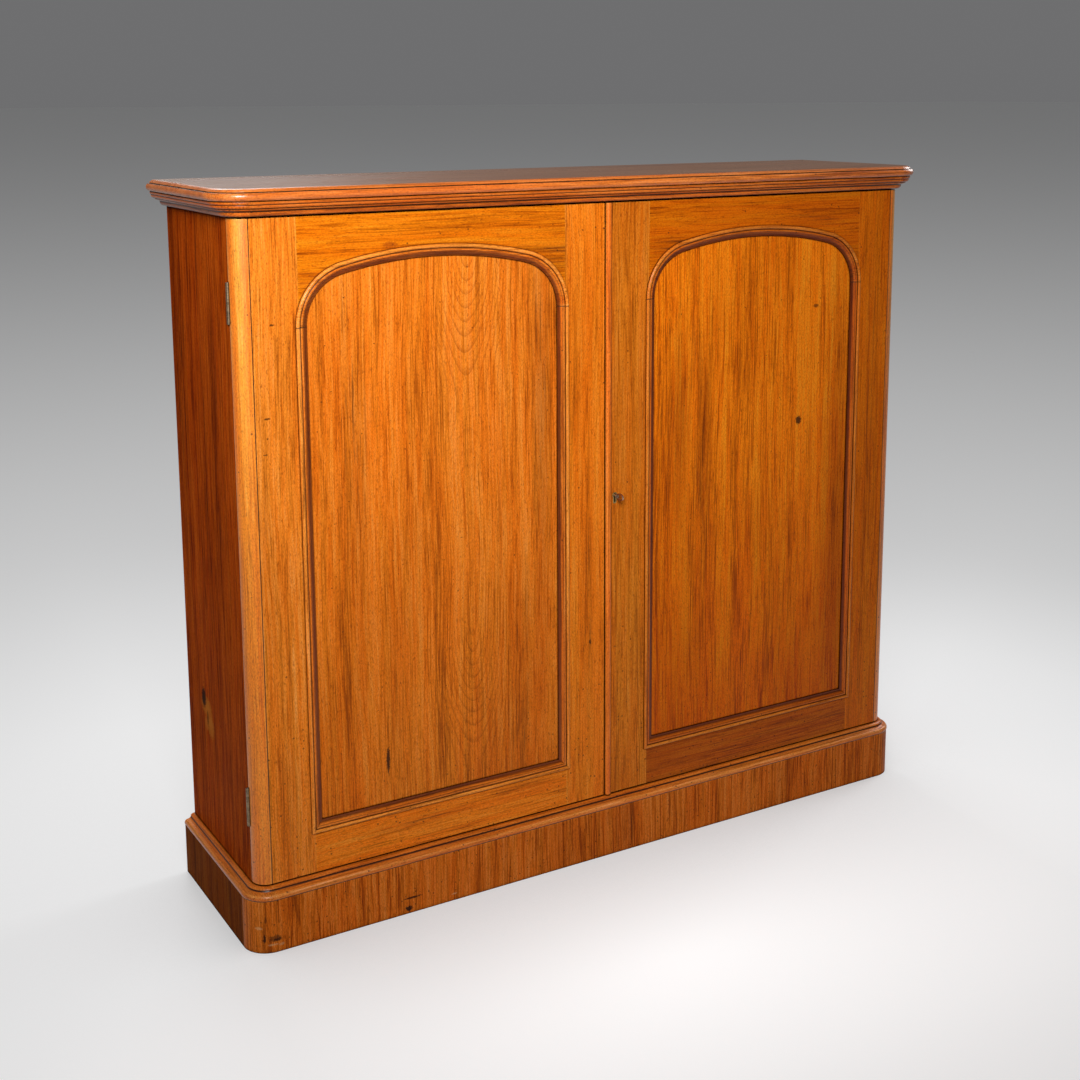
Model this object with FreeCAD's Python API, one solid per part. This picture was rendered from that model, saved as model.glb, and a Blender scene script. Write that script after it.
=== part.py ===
import FreeCAD
import Part
import math
import os
from FreeCAD import Vector

# Enclosed bookcase with two arched panel doors. Millimetres, +Z up, the doors face -Y.
# The origin is the middle of the underside of the whole cabinet's box.

# Driving dimensions of the cabinet
total_height = 1220.0
body_width = 1322.0
body_depth = 318.0
corner_radius = 25.0

# Boards of the carcass
side_thickness = 20.0
board_thickness = 20.0
back_thickness = 10.0
back_board_count = 4
back_board_gap = 1.0
back_rebate = 10.0
bottom_housing = 8.0
top_rail_height = 52.0
top_rail_thickness = 22.0

# Shelves on pegs
shelf_count = 3
shelf_set_back = 10.0
shelf_end_gap = 1.0
shelf_edge_radius = 3.0
peg_inset = 45.0
peg_radius = 3.4
peg_hole_clearance = 0.1
peg_hole_depth = 10.0
peg_shank_length = 9.0
peg_head_length = 14.0
peg_head_width = 9.0
peg_head_height = 6.0
peg_pitch = 40.0

# Plinth and its moulding
plinth_face_height = 88.5
plinth_projection = 18.0
plinth_rail_thickness = 20.0
plinth_moulding_start = 2.0
plinth_bead_height = 3.5
plinth_bead_width = 6.0
plinth_bead_bulge = 0.9
plinth_quirk = 0.8
plinth_hollow_height = 4.2
plinth_hollow_width = 6.0
plinth_hollow_bulge = 1.2
plinth_torus_height = 9.5
plinth_torus_width = 5.0
plinth_torus_bulge = 3.0
plinth_lip = 0.5
plinth_ledge = 20.0

# Edge of the top board
nosing_projection = 33.0
nosing_height = 12.0
nosing_bulge = 3.5
thumb_height = 5.0
thumb_width = 10.0
thumb_bulge = 1.3
thumb_set_back = 2.0
thumb_quirk = 1.0

# Cornice moulding under the top board
cornice_set_back = 3.0
cornice_quirk = 0.8
reed_height = 5.5
reed_bulge = 1.3
upper_reed_set_back = 1.5
lower_reed_set_back = 3.0
reed_step = 2.5
band_height = 3.5
band_set_back = 3.0
band_bulge = 0.8
cornice_hollow_height = 2.4
cornice_hollow_width = 5.5
cornice_hollow_bulge = 0.8
fillet_height = 6.0
fillet_set_back = 2.5
fillet_bulge = 0.7
cornice_lip_height = 1.0
cornice_lip_width = 1.5

# Doors
door_thickness = 25.0
door_gap_behind = 1.0
door_gap_top = 3.0
door_gap_bottom = 2.0
meeting_gap = 2.5
astragal_width = 11.5
astragal_height = 5.5
meeting_stile_width = 78.0
hanging_stile_width = 76.0
top_rail_depth = 59.0
bottom_rail_depth = 73.0
arch_corner_radius = 94.0
arch_crown_lift = 17.0
arch_tip = 1.5
tenon_length = 45.0
tenon_thickness = 8.0
tenon_shoulder = 12.0
tenon_clearance = 0.2

# Door panel and the bolection moulding round it
panel_recess = 6.0
panel_thickness = 10.0
panel_tongue = 7.0
panel_side_clearance = 0.2
panel_edge_clearance = 1.0
bolection_overlap = 6.0
bolection_rebate_clearance = 0.3
bolection_edge = 1.2
bolection_bead_width = 6.5
bolection_bead_bulge = 3.0
bolection_quirk = 0.8
bolection_round_width = 5.5
bolection_round_fall = 1.0
bolection_round_bulge = 1.0
bolection_hollow_width = 4.7
bolection_hollow_fall = 3.6
bolection_hollow_bulge = 0.9
bolection_fillet = 2.0

# Butt hinges
hinge_length = 64.0
hinge_end_distance = 128.0
hinge_proud = 1.0
knuckle_radius = 3.2
knuckle_count = 5
knuckle_gap = 0.4
knuckle_clearance = 0.4
hinge_leaf_thickness = 1.5
hinge_leaf_margin = 3.0
pin_radius = 1.4
pin_clearance = 0.05

# Lock, key and strike plate
lock_height = 663.0
lock_backset = 19.5
lock_case_width = 45.0
lock_case_height = 60.0
lock_case_depth = 13.0
lock_case_wall = 1.5
lock_case_rise = 25.0
lock_fit = 0.2
bolt_thickness = 7.0
bolt_tongue_height = 12.0
bolt_talon_depth = 6.0
bolt_travel = 8.0
bolt_tail_gap = 3.5
key_shaft_radius = 2.5
key_hole_clearance = 0.5
key_bit_length = 8.0
key_bit_width = 6.0
key_bit_thickness = 2.0
key_neck = 8.0
key_collar_radius = 3.8
key_collar_length = 2.0
key_bow_length = 19.0
key_bow_height = 13.0
key_bow_wire = 2.6
keyhole_drop = 13.0
escutcheon_rim = 1.9
escutcheon_depth = 3.0
escutcheon_proud = 0.4
strike_thickness = 1.5
strike_width = 12.0
strike_margin = 14.0
strike_clearance = 0.6
strike_pocket_depth = 3.0

# Flush bolts in the edge of the left door
flush_plate_thickness = 2.0
flush_plate_width = 12.0
flush_plate_length = 130.0
flush_rod_width = 7.0
flush_rod_depth = 6.0
flush_rod_length = 110.0
flush_rod_set_back = 0.5
flush_fit = 0.3
flush_stud_length = 14.0
flush_stud_width = 5.0
flush_stud_drop = 60.0
flush_travel = 12.0
flush_socket_depth = 13.0

# Places worked out from the sizes above
half_width = body_width / 2
overall_depth = body_depth + nosing_projection
back = overall_depth / 2
front = back - body_depth
carcass_front = front + door_thickness + door_gap_behind
inner_side = half_width - side_thickness
back_boards_front = back - back_thickness
corner_x = half_width - corner_radius
corner_y = front + corner_radius

thumb_start = nosing_projection - nosing_bulge - thumb_set_back - thumb_width
top_board_thickness = thumb_height + thumb_quirk + nosing_height
top_board_bottom = total_height - top_board_thickness

hinge_x = half_width + hinge_proud
hinge_y = front + door_thickness + door_gap_behind / 2
hinge_leaf_reach = side_thickness - hinge_leaf_margin

left_door_edge = (astragal_width + meeting_gap) / 2
right_door_edge = left_door_edge - astragal_width
opening_near = left_door_edge + meeting_stile_width
opening_far = corner_x - hanging_stile_width
opening_middle = (opening_near + opening_far) / 2
opening_half = (opening_far - opening_near) / 2
arch_rise = arch_corner_radius + arch_crown_lift
arch_crown_radius = (
    arch_rise**2 + (opening_half - arch_corner_radius)**2 - arch_corner_radius**2
) / (2 * arch_crown_lift)

nodes = {}


# Plain solids

def box(low, high):
    size = Vector(*high) - Vector(*low)
    return Part.makeBox(size.x, size.y, size.z, Vector(*low))


def upright(radius, x, y, low, high):
    return Part.makeCylinder(radius, high - low, Vector(x, y, low))


def along_y(radius, x, z, low, high):
    return Part.makeCylinder(radius, high - low, Vector(x, low, z), Vector(0, 1, 0))


def prism_in_door(points, low, high):
    """Solid between two depths, from corners given as (x, z)."""
    corners = [Vector(x, low, z) for x, z in points]
    face = Part.Face(Part.makePolygon(corners + corners[:1]))
    return face.extrude(Vector(0, high - low, 0))


def mirrored(shape):
    return shape.mirror(Vector(0, 0, 0), Vector(1, 0, 0))


def one_solid(shape):
    """The single solid of a finished piece, with no leftover seams."""
    clean = shape.removeSplitter()
    if len(clean.Solids) != 1:
        raise ValueError("a piece came out as %d solids" % len(clean.Solids))
    return clean.Solids[0]


def add_pair(name, right_piece):
    """A piece of the right side, and its mirror image on the left."""
    nodes["right_" + name] = right_piece
    nodes["left_" + name] = mirrored(right_piece)


# Moulding outlines, drawn as members that follow each other

def members_outline(start, members):
    """Steps from start. A member has a drop, a set-back and a bulge: 0 is flat, below 0 is hollow."""
    steps = []
    out, up = start
    for drop, set_back, bulge in members:
        end = (out - set_back, up - drop)
        length = math.hypot(drop, set_back)
        middle = ((out + end[0]) / 2 + bulge * drop / length, (up + end[1]) / 2 - bulge * set_back / length)
        steps.append((middle, end) if bulge else (end,))
        out, up = end
    return steps


def outline_face(start, steps, place):
    """Face inside the steps. One point is a straight step, two points an arc through the first."""
    edges = []
    here = place(start)
    for step in steps:
        end = place(step[-1])
        if len(step) == 2:
            edges.append(Part.Arc(here, place(step[0]), end).toShape())
        else:
            edges.append(Part.makeLine(here, end))
        here = end
    edges.append(Part.makeLine(here, place(start)))
    return Part.Face(Part.Wire(edges))


def front_run(outline, depth):
    """Straight moulding along the front between the two rounded corners."""
    start, steps, bottom = outline
    closed = steps + [((-depth, bottom),), ((-depth, start[1]),)]
    face = outline_face(start, closed, lambda p: Vector(-corner_x, front - p[0], p[1]))
    return face.extrude(Vector(2 * corner_x, 0, 0))


def side_run(outline, depth):
    """Straight moulding along the right side, from the rounded corner to the back."""
    start, steps, bottom = outline
    closed = steps + [((-depth, bottom),), ((-depth, start[1]),)]
    face = outline_face(start, closed, lambda p: Vector(half_width + p[0], corner_y, p[1]))
    return face.extrude(Vector(0, back - corner_y, 0))


def corner_turn(outline):
    """Quarter turn of the moulding round the right front corner."""
    start, steps, bottom = outline
    closed = steps + [((-corner_radius, bottom),), ((-corner_radius, start[1]),)]
    face = outline_face(start, closed, lambda p: Vector(half_width + p[0], corner_y, p[1]))
    return face.revolve(Vector(corner_x, corner_y, 0), Vector(0, 0, 1), -90)


def plinth_outline():
    start = (plinth_moulding_start, 0.0)
    members = [
        (plinth_bead_height, -plinth_bead_width, plinth_bead_bulge),
        (plinth_quirk, plinth_quirk, 0),
        (plinth_hollow_height, -plinth_hollow_width, -plinth_hollow_bulge),
        (plinth_torus_height, -plinth_torus_width, plinth_torus_bulge),
        (plinth_lip, plinth_lip, 0),
    ]
    height = sum(member[0] for member in members)
    start = (start[0], plinth_face_height + height)
    return start, members_outline(start, members), plinth_face_height


def top_board_outline():
    start = (thumb_start, total_height)
    members = [
        (thumb_height, -thumb_width, thumb_bulge),
        (0, thumb_quirk, 0),
        (thumb_quirk, 0, 0),
        (0, -thumb_quirk - thumb_set_back, 0),
        (nosing_height, 0, nosing_bulge),
    ]
    return start, members_outline(start, members), top_board_bottom


def cornice_outline():
    start = (nosing_projection - nosing_bulge - cornice_set_back, top_board_bottom)
    members = [
        (cornice_quirk, 0, 0),
        (reed_height, upper_reed_set_back, reed_bulge),
        (reed_height, lower_reed_set_back, reed_bulge),
        (0, reed_step, 0),
        (band_height, band_set_back, band_bulge),
        (cornice_hollow_height, cornice_hollow_width, -cornice_hollow_bulge),
        (fillet_height, fillet_set_back, fillet_bulge),
        (cornice_lip_height, cornice_lip_width, 0),
    ]
    bottom = top_board_bottom - sum(member[0] for member in members)
    return start, members_outline(start, members), bottom


plinth_top = plinth_outline()[0][1]
cornice_bottom = cornice_outline()[2]
door_bottom = plinth_top + door_gap_bottom
door_top = cornice_bottom - door_gap_top
opening_bottom = door_bottom + bottom_rail_depth
spring = door_top - top_rail_depth - arch_rise
bottom_board_top = plinth_top + board_thickness
top_rail_bottom = top_board_bottom - top_rail_height
bay_height = (top_rail_bottom - bottom_board_top - shelf_count * board_thickness) / (shelf_count + 1)
hinge_heights = (door_bottom + hinge_end_distance, door_top - hinge_end_distance)


# Plinth: rails, rounded corner blocks, and the moulding that caps them

def make_plinth():
    rail_outer = half_width + plinth_projection
    rail_inner = rail_outer - plinth_rail_thickness
    front_face = front - plinth_projection
    nodes["plinth_front"] = box(
        (-corner_x, front_face, 0), (corner_x, front_face + plinth_rail_thickness, plinth_face_height))
    back_rail = box((-rail_inner, back - plinth_rail_thickness, 0), (rail_inner, back, plinth_face_height))
    tongue = box((-corner_x, back - plinth_rail_thickness, plinth_face_height), (corner_x, back, plinth_top))
    nodes["plinth_back"] = one_solid(back_rail.fuse(tongue))
    add_pair("plinth_side", box((rail_inner, corner_y, 0), (rail_outer, back, plinth_face_height)))
    block = upright(corner_radius + plinth_projection, corner_x, corner_y, 0, plinth_face_height)
    quarter = box((corner_x, front_face, 0), (rail_outer, corner_y, plinth_face_height))
    add_pair("plinth_corner", one_solid(block.common(quarter)))

    outline = plinth_outline()
    front_depth = door_thickness + door_gap_behind + plinth_ledge
    moulding = front_run(outline, front_depth)
    socket = flush_bolt_socket(plinth_top - flush_socket_depth, plinth_top)
    nodes["plinth_moulding_front"] = one_solid(moulding.cut(socket))
    run = side_run(outline, corner_radius)
    add_pair("plinth_moulding", one_solid(run.fuse(corner_turn(outline))))


# Top: the moulded top board and the cornice moulding glued under its edge

def make_top():
    outline = top_board_outline()
    slab = box((-corner_x, corner_y, top_board_bottom), (corner_x, back, total_height))
    edge = [side_run(outline, corner_radius), corner_turn(outline)]
    edge += [mirrored(piece) for piece in edge]
    nodes["top_board"] = one_solid(slab.fuse([front_run(outline, corner_radius)] + edge))

    outline = cornice_outline()
    moulding = front_run(outline, corner_radius)
    socket = flush_bolt_socket(cornice_bottom, cornice_bottom + flush_socket_depth)
    nodes["cornice_front"] = one_solid(moulding.cut(socket))
    add_pair("cornice", one_solid(side_run(outline, 0).fuse(corner_turn(outline))))


# Carcass: sides, bottom board, top rails and upright back boards

def shelf_underside(index):
    return bottom_board_top + (index + 1) * bay_height + index * board_thickness


def peg_places():
    """Depth and height of each peg in one side."""
    depths = (carcass_front + peg_inset, back_boards_front - peg_inset)
    heights = [shelf_underside(index) - peg_head_height / 2 for index in range(shelf_count)]
    return [(depth, height) for height in heights for depth in depths]


def make_side():
    side = box((inner_side, carcass_front, plinth_top), (half_width, back, top_board_bottom))
    housing = box(
        (inner_side, carcass_front, plinth_top),
        (inner_side + bottom_housing, back_boards_front, bottom_board_top))
    rebate = box(
        (inner_side, back_boards_front, plinth_top), (inner_side + back_rebate, back, top_board_bottom))
    holes = []
    for depth, height in peg_places():
        for step in (-1, 0, 1):
            place = Vector(inner_side, depth, height + step * peg_pitch)
            radius = peg_radius + peg_hole_clearance
            holes.append(Part.makeCylinder(radius, peg_hole_depth, place, Vector(1, 0, 0)))
    add_pair("side", one_solid(side.cut([housing, rebate] + holes + carcass_hinge_cuts())))


def make_carcass_boards():
    reach = inner_side + bottom_housing
    nodes["bottom_board"] = box((-reach, carcass_front, plinth_top), (reach, back_boards_front, bottom_board_top))
    nodes["top_front_rail"] = box(
        (-inner_side, carcass_front, top_rail_bottom),
        (inner_side, carcass_front + top_rail_thickness, top_board_bottom))
    nodes["top_back_rail"] = box(
        (-inner_side, back_boards_front - top_rail_thickness, top_rail_bottom),
        (inner_side, back_boards_front, top_board_bottom))
    span = 2 * (inner_side + back_rebate)
    board = (span - (back_board_count - 1) * back_board_gap) / back_board_count
    for index in range(back_board_count):
        left = -span / 2 + index * (board + back_board_gap)
        nodes["back_board_%d" % (index + 1)] = box(
            (left, back_boards_front, plinth_top), (left + board, back, top_board_bottom))


def make_shelves():
    for index in range(shelf_count):
        low = shelf_underside(index)
        end = inner_side - shelf_end_gap
        shelf = box(
            (-end, carcass_front + shelf_set_back, low), (end, back_boards_front, low + board_thickness))
        nose = [edge for edge in shelf.Edges if edge.BoundBox.YMax < carcass_front + shelf_set_back + 1]
        long_edges = [edge for edge in nose if edge.BoundBox.XLength > end]
        nodes["shelf_%d" % (index + 1)] = one_solid(shelf.makeFillet(shelf_edge_radius, long_edges))


def make_pegs():
    pegs = []
    for depth, height in peg_places():
        shank = Part.makeCylinder(peg_radius, peg_shank_length, Vector(inner_side, depth, height), Vector(1, 0, 0))
        head = box(
            (inner_side - peg_head_length, depth - peg_head_width / 2, height - peg_head_height / 2),
            (inner_side, depth + peg_head_width / 2, height + peg_head_height / 2))
        peg = one_solid(head.fuse(shank))
        pegs += [peg, mirrored(peg)]
    nodes["shelf_pegs"] = Part.makeCompound(pegs)


# Butt hinges: leaves let into the side and the corner strip, knuckles in turn on one pin

def knuckle_span(bottom, index):
    pitch = hinge_length / knuckle_count
    return bottom + index * pitch + knuckle_gap / 2, bottom + (index + 1) * pitch - knuckle_gap / 2


def hinge_leaf(middle, leaf, own_knuckles):
    """A leaf with the knuckles numbered in own_knuckles; the others pass through notches."""
    bottom = middle - hinge_length / 2
    for index in range(knuckle_count):
        low, high = knuckle_span(bottom, index)
        if index in own_knuckles:
            leaf = leaf.fuse(upright(knuckle_radius, hinge_x, hinge_y, low, high))
        else:
            reach = knuckle_radius + knuckle_clearance
            leaf = leaf.cut(upright(reach, hinge_x, hinge_y, low - knuckle_gap, high + knuckle_gap))
    bore = upright(pin_radius + pin_clearance, hinge_x, hinge_y, bottom, bottom + hinge_length)
    return one_solid(leaf.cut(bore))


def carcass_leaf_block(middle):
    return box(
        (half_width - hinge_leaf_reach, carcass_front, middle - hinge_length / 2),
        (hinge_x, carcass_front + hinge_leaf_thickness, middle + hinge_length / 2))


def door_leaf_block(middle):
    face = front + door_thickness
    return box(
        (half_width - hinge_leaf_reach, face - hinge_leaf_thickness, middle - hinge_length / 2),
        (hinge_x, face, middle + hinge_length / 2))


def knuckle_recess(middle):
    reach = knuckle_radius + knuckle_clearance
    half = hinge_length / 2 + knuckle_gap
    return upright(reach, hinge_x, hinge_y, middle - half, middle + half)


def carcass_hinge_cuts():
    return [cut(middle) for middle in hinge_heights for cut in (carcass_leaf_block, knuckle_recess)]


def door_hinge_cuts():
    return [cut(middle) for middle in hinge_heights for cut in (door_leaf_block, knuckle_recess)]


def make_hinges():
    fixed = range(0, knuckle_count, 2)
    moving = range(1, knuckle_count, 2)
    carcass_leaves = [hinge_leaf(middle, carcass_leaf_block(middle), fixed) for middle in hinge_heights]
    door_leaves = [hinge_leaf(middle, door_leaf_block(middle), moving) for middle in hinge_heights]
    half = hinge_length / 2
    pins = [upright(pin_radius, hinge_x, hinge_y, middle - half, middle + half) for middle in hinge_heights]
    nodes["hinge_carcass_leaves"] = Part.makeCompound(carcass_leaves + [mirrored(leaf) for leaf in carcass_leaves])
    nodes["hinge_pins"] = Part.makeCompound(pins + [mirrored(pin) for pin in pins])
    add_pair("hinge_door_leaves", Part.makeCompound(door_leaves))


# Door frame, drawn for the right door. The opening has a three-centred arch.

def arch_points(offset):
    """Centres, radii and the joint angle of the arch, grown outwards by offset."""
    corner = (opening_middle + opening_half - arch_corner_radius, spring)
    crown = (opening_middle, spring + arch_rise - arch_crown_radius)
    angle = math.atan2(corner[1] - crown[1], corner[0] - crown[0])
    return corner, arch_corner_radius + offset, crown, arch_crown_radius + offset, angle


def opening_solid(offset, low, high):
    """The door's opening, grown by offset, as a solid between two depths."""
    corner, corner_r, crown, crown_r, angle = arch_points(offset)
    far = opening_middle + opening_half + offset
    near = opening_middle - opening_half - offset
    bottom = opening_bottom - offset

    def at(centre, radius, turn, side=1):
        x = centre[0] + radius * math.cos(turn)
        return Vector(x if side > 0 else 2 * opening_middle - x, low, centre[1] + radius * math.sin(turn))

    joint_far = at(corner, corner_r, angle)
    joint_near = at(corner, corner_r, angle, -1)
    edges = [
        Part.makeLine(Vector(near, low, bottom), Vector(far, low, bottom)),
        Part.makeLine(Vector(far, low, bottom), Vector(far, low, spring)),
        Part.Arc(Vector(far, low, spring), at(corner, corner_r, angle / 2), joint_far).toShape(),
        Part.Arc(joint_far, at(crown, crown_r, math.pi / 2), joint_near).toShape(),
        Part.Arc(joint_near, at(corner, corner_r, angle / 2, -1), Vector(near, low, spring)).toShape(),
        Part.makeLine(Vector(near, low, spring), Vector(near, low, bottom)),
    ]
    return Part.Face(Part.Wire(edges)).extrude(Vector(0, high - low, 0))


def panel_groove():
    face = front + panel_recess
    return opening_solid(
        panel_tongue + panel_edge_clearance, face - panel_side_clearance,
        face + panel_thickness + panel_side_clearance)


def tenon(low, high, clearance=0.0):
    """Bar through both ends of a rail; what reaches past the rail is its two tenons."""
    middle = front + door_thickness / 2
    half = tenon_thickness / 2 + clearance
    return box(
        (opening_near - tenon_length - clearance, middle - half, low - clearance),
        (opening_far + tenon_length + clearance, middle + half, high + clearance))


def rail_tenons(clearance=0.0):
    top = tenon(door_top - top_rail_depth + tenon_shoulder, door_top - tenon_shoulder, clearance)
    bottom = tenon(door_bottom + tenon_shoulder, opening_bottom - tenon_shoulder, clearance)
    return top, bottom


def stile(near, far):
    bar = box((near, front, door_bottom), (far, front + door_thickness, door_top))
    return bar.cut([panel_groove()] + list(rail_tenons(tenon_clearance)))


def make_door_frame():
    hanging = stile(opening_far, corner_x).cut(door_hinge_cuts())
    add_pair("hanging_stile", one_solid(hanging))
    nodes["right_meeting_stile"] = one_solid(stile(right_door_edge, opening_near).cut(lock_cuts()))
    left = stile(left_door_edge, opening_near).cut(strike_cuts() + flush_bolt_cuts())
    nodes["left_meeting_stile"] = mirrored(one_solid(left))

    top_tenon, bottom_tenon = rail_tenons()
    tip = spring + math.sqrt(arch_corner_radius**2 - (arch_corner_radius - arch_tip)**2)
    top = box((opening_near, front, tip), (opening_far, front + door_thickness, door_top))
    shaped = top.cut(opening_solid(0, front, front + door_thickness)).fuse(top_tenon).cut(panel_groove())
    add_pair("top_rail", one_solid(shaped))
    bottom = box(
        (opening_near, front, door_bottom), (opening_far, front + door_thickness, opening_bottom))
    add_pair("bottom_rail", one_solid(bottom.fuse(bottom_tenon).cut(panel_groove())))


def make_corner_strip():
    strip = box((corner_x, front, door_bottom), (half_width, front + door_thickness, door_top))
    square = box((corner_x, front, door_bottom), (half_width, corner_y, door_top))
    waste = square.cut(upright(corner_radius, corner_x, corner_y, door_bottom, door_top))
    add_pair("corner_strip", one_solid(strip.cut([waste] + door_hinge_cuts())))


def make_panel():
    face = front + panel_recess
    add_pair("panel", opening_solid(panel_tongue, face, face + panel_thickness))


# Bolection moulding: laps over the frame, steps down to the panel, mitred below, butted at the spring

def bolection_width():
    return (bolection_bead_width + bolection_quirk + bolection_round_width
            + bolection_hollow_width + bolection_fillet)


def bolection_face(place):
    """Section of the moulding; place takes (height above the frame, distance in from the outer edge)."""
    start = (0.0, 0.0)
    members = [
        (0, -bolection_edge, 0),
        (bolection_bead_width, 0, bolection_bead_bulge),
        (bolection_quirk, 0, 0),
        (bolection_round_width, bolection_round_fall, bolection_round_bulge),
        (bolection_hollow_width, bolection_hollow_fall, -bolection_hollow_bulge),
        (bolection_fillet, 0, 0),
    ]
    rebate = bolection_overlap + bolection_rebate_clearance
    closed = members_outline(start, members)
    closed += [((-panel_recess, -bolection_width()),), ((-panel_recess, -rebate),), ((0.0, -rebate),)]
    return outline_face(start, closed, lambda p: place(p[0], -p[1]))


def make_arch_moulding():
    corner, corner_r, crown, crown_r, angle = arch_points(bolection_overlap)
    other = (2 * opening_middle - corner[0], corner[1])
    turns = [
        (corner, corner_r, 0.0, angle),
        (crown, crown_r, angle, math.pi - angle),
        (other, corner_r, math.pi - angle, math.pi),
    ]
    lengths = []
    for centre, radius, first, last in turns:
        def place(height, inward):
            reach = radius - inward
            return Vector(centre[0] + reach * math.cos(first), front - height,
                          centre[1] + reach * math.sin(first))
        axis = Vector(centre[0], 0, centre[1])
        face = bolection_face(place)
        lengths.append(face.revolve(axis, Vector(0, -1, 0), math.degrees(last - first)))
    add_pair("moulding_arch", one_solid(lengths[0].fuse(lengths[1:])))


def make_straight_mouldings():
    width = bolection_width()
    far = opening_far + bolection_overlap
    near = opening_near - bolection_overlap
    low = opening_bottom - bolection_overlap
    depths = (front - door_thickness, front + door_thickness)

    face = bolection_face(lambda height, inward: Vector(far - inward, front - height, low))
    outline = [(far, low), (far, spring), (far - width, spring), (far - width, low + width)]
    hinge_side = face.extrude(Vector(0, 0, spring - low)).common(prism_in_door(outline, *depths))
    add_pair("moulding_hinge_side", one_solid(hinge_side))

    face = bolection_face(lambda height, inward: Vector(near + inward, front - height, low))
    outline = [(near, low), (near, spring), (near + width, spring), (near + width, low + width)]
    lock_side = face.extrude(Vector(0, 0, spring - low)).common(prism_in_door(outline, *depths))
    add_pair("moulding_meeting_side", one_solid(lock_side))

    face = bolection_face(lambda height, inward: Vector(near, front - height, low + inward))
    outline = [(near, low), (far, low), (far - width, low + width), (near + width, low + width)]
    bottom = face.extrude(Vector(far - near, 0, 0)).common(prism_in_door(outline, *depths))
    add_pair("moulding_bottom", one_solid(bottom))


def make_astragal():
    left = right_door_edge
    right = right_door_edge + astragal_width
    arc = Part.Arc(
        Vector(left, front, door_bottom), Vector((left + right) / 2, front - astragal_height, door_bottom),
        Vector(right, front, door_bottom)).toShape()
    base = Part.makeLine(Vector(right, front, door_bottom), Vector(left, front, door_bottom))
    nodes["astragal"] = Part.Face(Part.Wire([arc, base])).extrude(Vector(0, 0, door_top - door_bottom))


# Lock in the right door: case let into the back of the stile, bolt, key and brass keyhole lining

key_x = right_door_edge + lock_backset
lock_back = front + door_thickness
lock_front = lock_back - lock_case_depth
lock_top = lock_height + lock_case_rise
lock_low = lock_top - lock_case_height
bolt_y = (lock_front + lock_back) / 2
bolt_top = lock_top - lock_case_wall - lock_fit
bolt_low = bolt_top - bolt_tongue_height
keyhole_radius = key_shaft_radius + key_hole_clearance


def keyhole(grow, low, high):
    """Round hole with a slot below it for the bit, grown by grow on every side."""
    half = key_bit_thickness / 2 + key_hole_clearance + grow
    foot = lock_height - keyhole_drop - grow + half
    hole = along_y(keyhole_radius + grow, key_x, lock_height, low, high)
    slot = box((key_x - half, low, foot), (key_x + half, high, lock_height))
    return hole.fuse([slot, along_y(half, key_x, foot, low, high)])


def lock_cuts():
    pocket = box(
        (right_door_edge, lock_front - lock_fit, lock_low - lock_fit),
        (right_door_edge + lock_case_width + lock_fit, lock_back, lock_top + lock_fit))
    return [pocket, keyhole(0, front, lock_back), keyhole(escutcheon_rim, front, front + escutcheon_depth)]


def make_lock():
    wall = lock_case_wall
    right = right_door_edge + lock_case_width
    case = box((right_door_edge, lock_front, lock_low), (right, lock_back, lock_top))
    hollow = box(
        (right_door_edge + wall, lock_front + wall, lock_low + wall), (right - wall, lock_back - wall, lock_top - wall))
    half = bolt_thickness / 2 + lock_fit
    mouth = box(
        (right_door_edge, bolt_y - half, bolt_low - lock_fit),
        (right_door_edge + wall, bolt_y + half, bolt_top + lock_fit))
    nodes["lock_case"] = one_solid(case.cut([hollow, mouth, keyhole(0, lock_front, lock_front + wall)]))

    tail = right - wall - bolt_tail_gap
    half = bolt_thickness / 2
    tongue = box((right_door_edge, bolt_y - half, bolt_low), (tail, bolt_y + half, bolt_top))
    shoulder = right_door_edge + wall + bolt_travel + lock_fit
    talon = box((shoulder, bolt_y - half, bolt_low - bolt_talon_depth), (tail, bolt_y + half, bolt_low))
    reach = key_bit_length + key_hole_clearance
    swing = along_y(reach, key_x, lock_height, bolt_y - half, bolt_y + half)
    path = box(
        (key_x, bolt_y - half, lock_height), (key_x + bolt_travel, bolt_y + half, lock_height + reach))
    swing_shot = along_y(reach, key_x + bolt_travel, lock_height, bolt_y - half, bolt_y + half)
    nodes["lock_bolt"] = one_solid(tongue.fuse(talon).cut([swing, path, swing_shot]))

    lining = keyhole(escutcheon_rim, front - escutcheon_proud, front + escutcheon_depth)
    nodes["escutcheon"] = one_solid(
        lining.cut(keyhole(0, front - escutcheon_proud, front + escutcheon_depth)))


def make_key():
    bow_end = front - key_neck
    tip = bolt_y + key_bit_width / 2
    shaft = along_y(key_shaft_radius, key_x, lock_height, bow_end - key_bow_wire / 2, tip)
    collar = along_y(key_collar_radius, key_x, lock_height, bow_end, bow_end + key_collar_length)
    half = key_bit_thickness / 2
    bit = box(
        (key_x - half, tip - key_bit_width, lock_height - key_bit_length), (key_x + half, tip, lock_height))
    middle = Vector(key_x - key_bow_wire / 2, bow_end - key_bow_length / 2, lock_height)

    def oval(inset):
        ellipse = Part.Ellipse(Vector(0, 0, 0), key_bow_length / 2 - inset, key_bow_height / 2 - inset)
        face = Part.Face(Part.Wire(ellipse.toShape()))
        face.rotate(Vector(0, 0, 0), Vector(0, 0, 1), 90)
        face.rotate(Vector(0, 0, 0), Vector(0, 1, 0), 90)
        face.translate(middle)
        return face.extrude(Vector(key_bow_wire, 0, 0))

    ring = oval(0).cut(oval(key_bow_wire))
    hole = oval(key_bow_wire)
    nodes["key"] = one_solid(shaft.cut(hole).fuse([collar, bit, ring]))


def strike_places():
    half = strike_width / 2
    return bolt_y - half, bolt_y + half, bolt_low - strike_margin, bolt_top + strike_margin


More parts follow.
